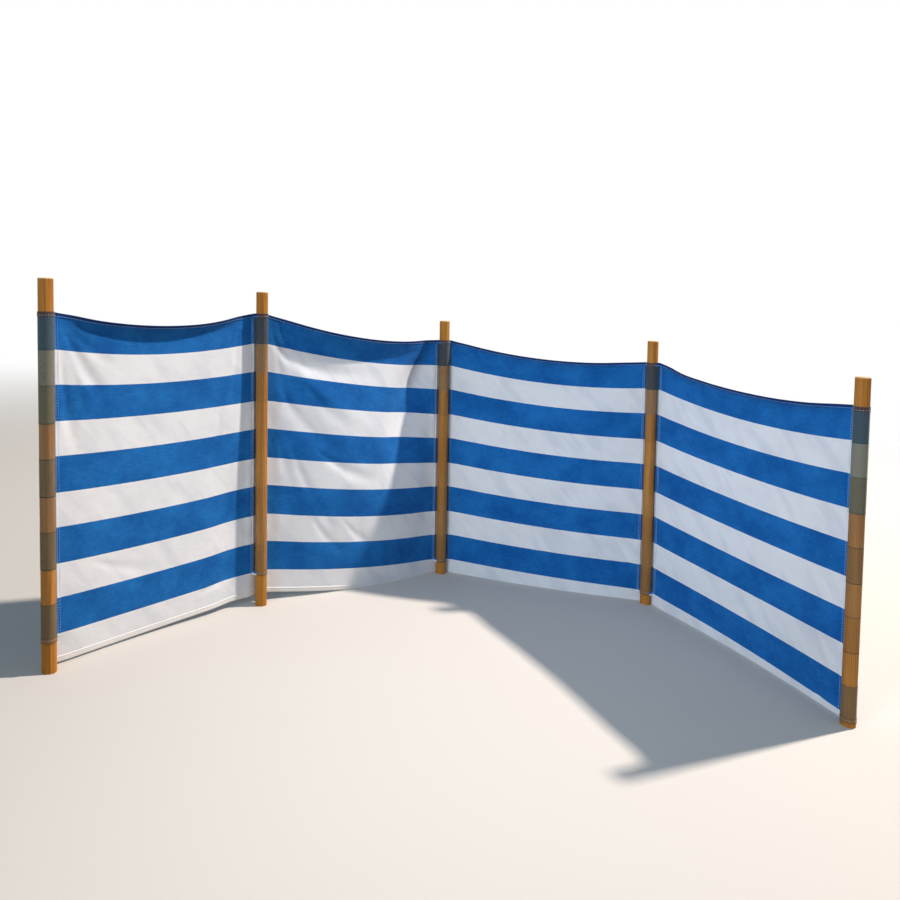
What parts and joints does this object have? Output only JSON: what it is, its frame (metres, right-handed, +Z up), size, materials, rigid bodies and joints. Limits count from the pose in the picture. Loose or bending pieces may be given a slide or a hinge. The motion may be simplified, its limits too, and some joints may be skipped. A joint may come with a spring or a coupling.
{
  "type": "beach windbreak",
  "caption": "Beach windbreak of round wooden poles planted in an arc, with bays of blue and white striped canvas held in sewn pole pockets.",
  "frame": {"origin": "middle of the flat foot of the middle pole", "axes": "+X to the right seen from the sheltered side, +Y out to the windward side, +Z up along the poles"},
  "size_m": [2.7602, 1.2975, 1.5985],
  "materials": {
    "pole_wood": "satin",
    "striped_canvas": "matte",
    "blue_canvas": "matte",
    "white_canvas": "matte",
    "pocket_cloth": "matte"
  },
  "bodies": {
    "root": {"pole_1": "pole_wood", "pole_2": "pole_wood", "pole_3": "pole_wood", "pole_4": "pole_wood", "pole_5": "pole_wood", "canvas_bay_1": "striped_canvas", "canvas_bay_2": "striped_canvas", "canvas_bay_3": "striped_canvas", "canvas_bay_4": "striped_canvas", "top_hem_1": "blue_canvas", "top_hem_2": "blue_canvas", "top_hem_3": "blue_canvas", "top_hem_4": "blue_canvas", "bottom_hem_1": "white_canvas", "bottom_hem_2": "white_canvas", "bottom_hem_3": "white_canvas", "bottom_hem_4": "white_canvas", "pocket_1": "pocket_cloth", "pocket_top_hem_1": "pocket_cloth", "pocket_bottom_hem_1": "pocket_cloth", "pocket_2": "pocket_cloth", "pocket_top_hem_2": "pocket_cloth", "pocket_bottom_hem_2": "pocket_cloth", "pocket_3": "pocket_cloth", "pocket_top_hem_3": "pocket_cloth", "pocket_bottom_hem_3": "pocket_cloth", "pocket_4": "pocket_cloth", "pocket_top_hem_4": "pocket_cloth", "pocket_bottom_hem_4": "pocket_cloth", "pocket_5": "pocket_cloth", "pocket_top_hem_5": "pocket_cloth", "pocket_bottom_hem_5": "pocket_cloth"}
  },
  "joints": []
}
